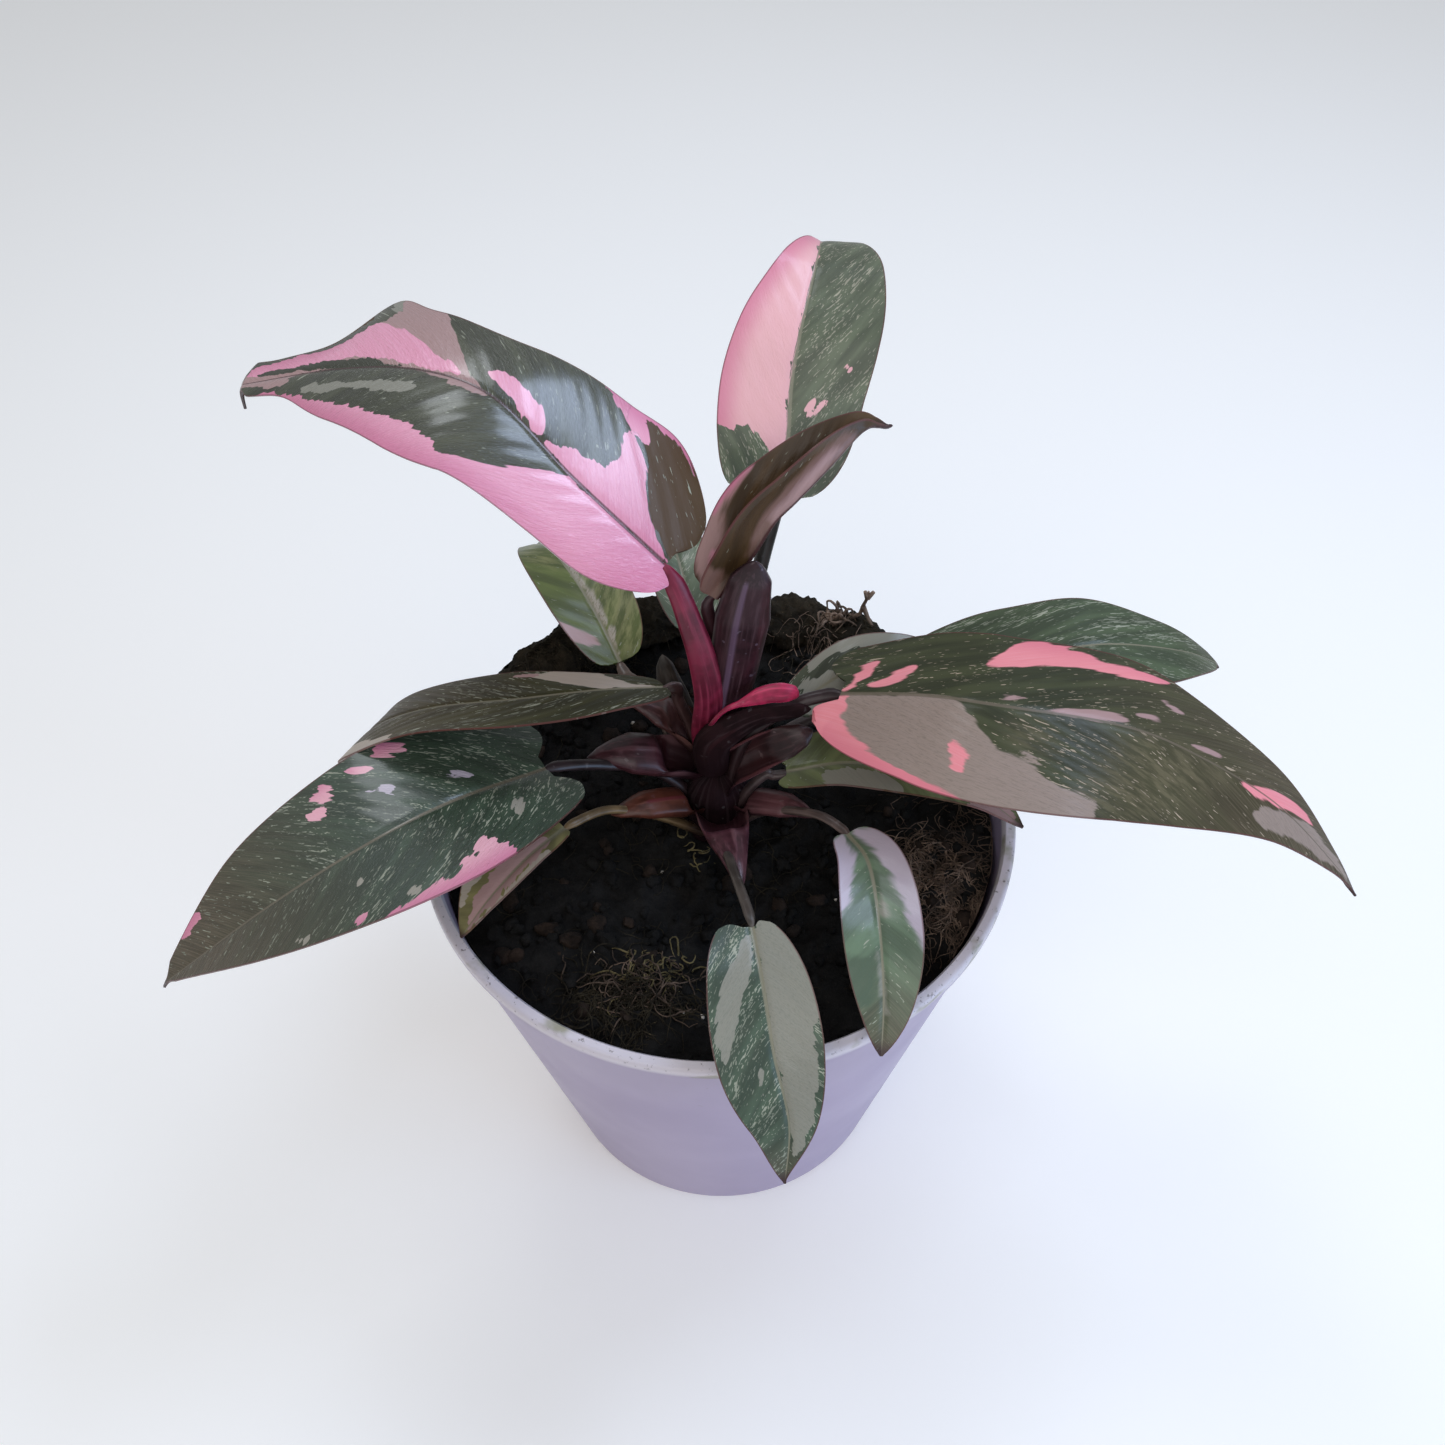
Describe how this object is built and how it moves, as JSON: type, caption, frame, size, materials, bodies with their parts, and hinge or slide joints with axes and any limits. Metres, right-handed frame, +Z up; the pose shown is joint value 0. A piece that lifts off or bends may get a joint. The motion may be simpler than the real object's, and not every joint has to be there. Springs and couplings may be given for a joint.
{
  "type": "potted pink princess philodendron",
  "caption": "Round tapered nursery pot of soil with a young philodendron whose broad pointed leaves are marked pink and dark green",
  "frame": {"origin": "centre of the pot's flat underside, on the surface that it stands on", "axes": "+Z up along the pot's axis, -Y towards the front, +X to the right seen from the front"},
  "size_m": [0.2683, 0.1823, 0.2501],
  "materials": {
    "white_plastic": "thin smooth plastic, faintly lavender",
    "soil": "moist dark potting soil with moss and old roots",
    "maroon_petiole": "smooth plant stem, dark maroon to magenta",
    "pink_and_dark_green": "glossy leaf, pink sectors on dark green with pale flecks",
    "olive_and_pink": "soft new leaf, olive brown with a pink margin",
    "speckled_green": "glossy leaf, dark green with fine pale flecks and a few pink spots",
    "grey_green": "satin leaf, grey green with beige stripes",
    "pale_and_green": "satin leaf, pale grey pink beside green"
  },
  "bodies": {
    "root": {"pot": "white_plastic", "soil": "soil", "stem": "maroon_petiole", "leaf_upper_left": "pink_and_dark_green", "leaf_top": "pink_and_dark_green", "leaf_young": "olive_and_pink", "leaf_right": "pink_and_dark_green", "leaf_back_right": "speckled_green", "leaf_small_right": "grey_green", "leaf_under_right": "grey_green", "leaf_front_right": "pale_and_green", "leaf_front": "pale_and_green", "leaf_lower_left": "speckled_green", "leaf_left": "speckled_green", "leaf_inside_left": "pale_and_green", "leaf_back_left": "grey_green", "leaf_back": "grey_green"}
  },
  "joints": []
}
